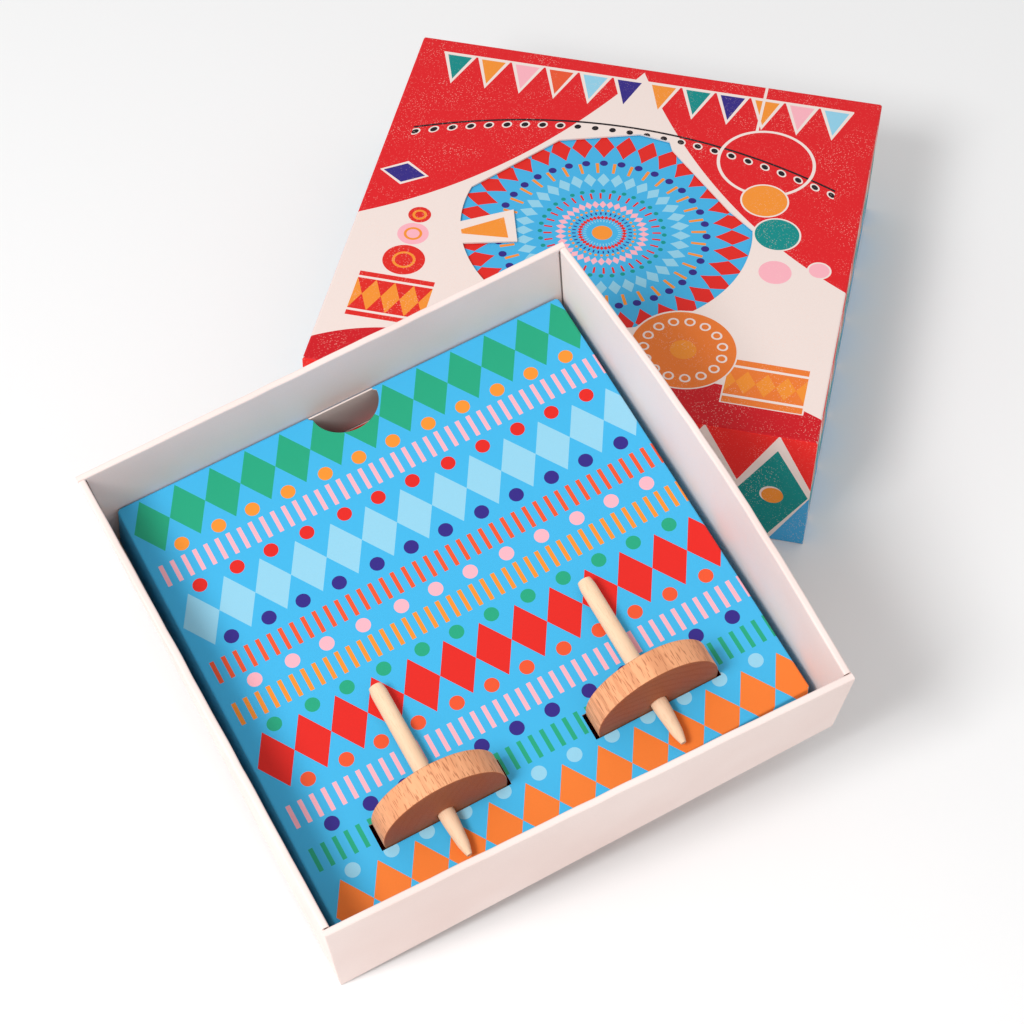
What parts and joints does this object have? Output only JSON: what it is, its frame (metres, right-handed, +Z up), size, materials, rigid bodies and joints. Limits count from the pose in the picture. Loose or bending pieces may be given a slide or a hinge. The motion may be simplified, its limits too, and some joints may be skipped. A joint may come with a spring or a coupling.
{
  "type": "boxed spinning tops",
  "caption": "Square card gift box, opened: the tray leans on its windowed lid and holds a printed insert with wooden spinning tops lying in its slots.",
  "frame": {"origin": "middle of the whole set's bounding box, on the table that the lid lies on and the tray's lowest corner touches", "axes": "+Z up, out of the lid's top; +Y from the tray back to the lid, square to the lid's front wall; +X along the lid's front wall"},
  "size_m": [0.231, 0.3636, 0.0975],
  "materials": {
    "lid_print": "satin",
    "window_print": "satin",
    "white_card": "matte",
    "insert_print": "satin",
    "red_paper": "matte",
    "beech": "matte",
    "dowel": "matte"
  },
  "bodies": {
    "lid": {"lid_top": "lid_print", "lid_wall_front": "lid_print", "lid_wall_right": "lid_print", "lid_wall_back": "lid_print", "lid_wall_left": "lid_print", "lid_tab_front_left": "lid_print", "lid_tab_front_right": "lid_print", "lid_tab_back_left": "lid_print", "lid_tab_back_right": "lid_print", "window_card": "window_print"},
    "tray": {"tray_base": "white_card", "tray_outer_front": "white_card", "tray_outer_right": "white_card", "tray_outer_back": "white_card", "tray_outer_left": "white_card", "tray_rim_front": "white_card", "tray_rim_right": "white_card", "tray_rim_back": "white_card", "tray_rim_left": "white_card", "tray_inner_front": "white_card", "tray_inner_right": "white_card", "tray_inner_back": "white_card", "tray_inner_left": "white_card", "tray_tab_front_left": "white_card", "tray_tab_front_right": "white_card", "tray_tab_back_left": "white_card", "tray_tab_back_right": "white_card", "stored_sheet": "red_paper"},
    "insert": {"insert_deck": "insert_print", "insert_flap_front": "insert_print", "insert_flap_right": "insert_print", "insert_flap_back": "insert_print", "insert_flap_left": "insert_print"},
    "left_spindle": {"left_top_spindle": "dowel"},
    "left_disc": {"left_top_disc": "beech"},
    "right_spindle": {"right_top_spindle": "dowel"},
    "right_disc": {"right_top_disc": "beech"}
  },
  "joints": [
    {"name": "tray_lift", "type": "slide", "parent": "lid", "child": "tray", "axis": [0, 0, 1], "range_m": [0, 0.15]},
    {"name": "insert_lift", "type": "slide", "parent": "tray", "child": "insert", "axis": [0, -0.2471, 0.969], "range_m": [0, 0.06]},
    {"name": "left_top_lift", "type": "slide", "parent": "insert", "child": "left_spindle", "axis": [0, -0.2471, 0.969], "range_m": [0, 0.05]},
    {"name": "left_top_spin", "type": "hinge", "parent": "left_spindle", "child": "left_disc", "pos_m": [0.00767, -0.12729, 0.0333], "axis": [-0.6473, 0.7386, 0.1883], "continuous": true},
    {"name": "right_top_lift", "type": "slide", "parent": "insert", "child": "right_spindle", "axis": [0, -0.2471, 0.969], "range_m": [0, 0.05]},
    {"name": "right_top_spin", "type": "hinge", "parent": "right_spindle", "child": "right_disc", "pos_m": [0.05973, -0.08445, 0.04423], "axis": [-0.6473, 0.7386, 0.1883], "continuous": true}
  ]
}
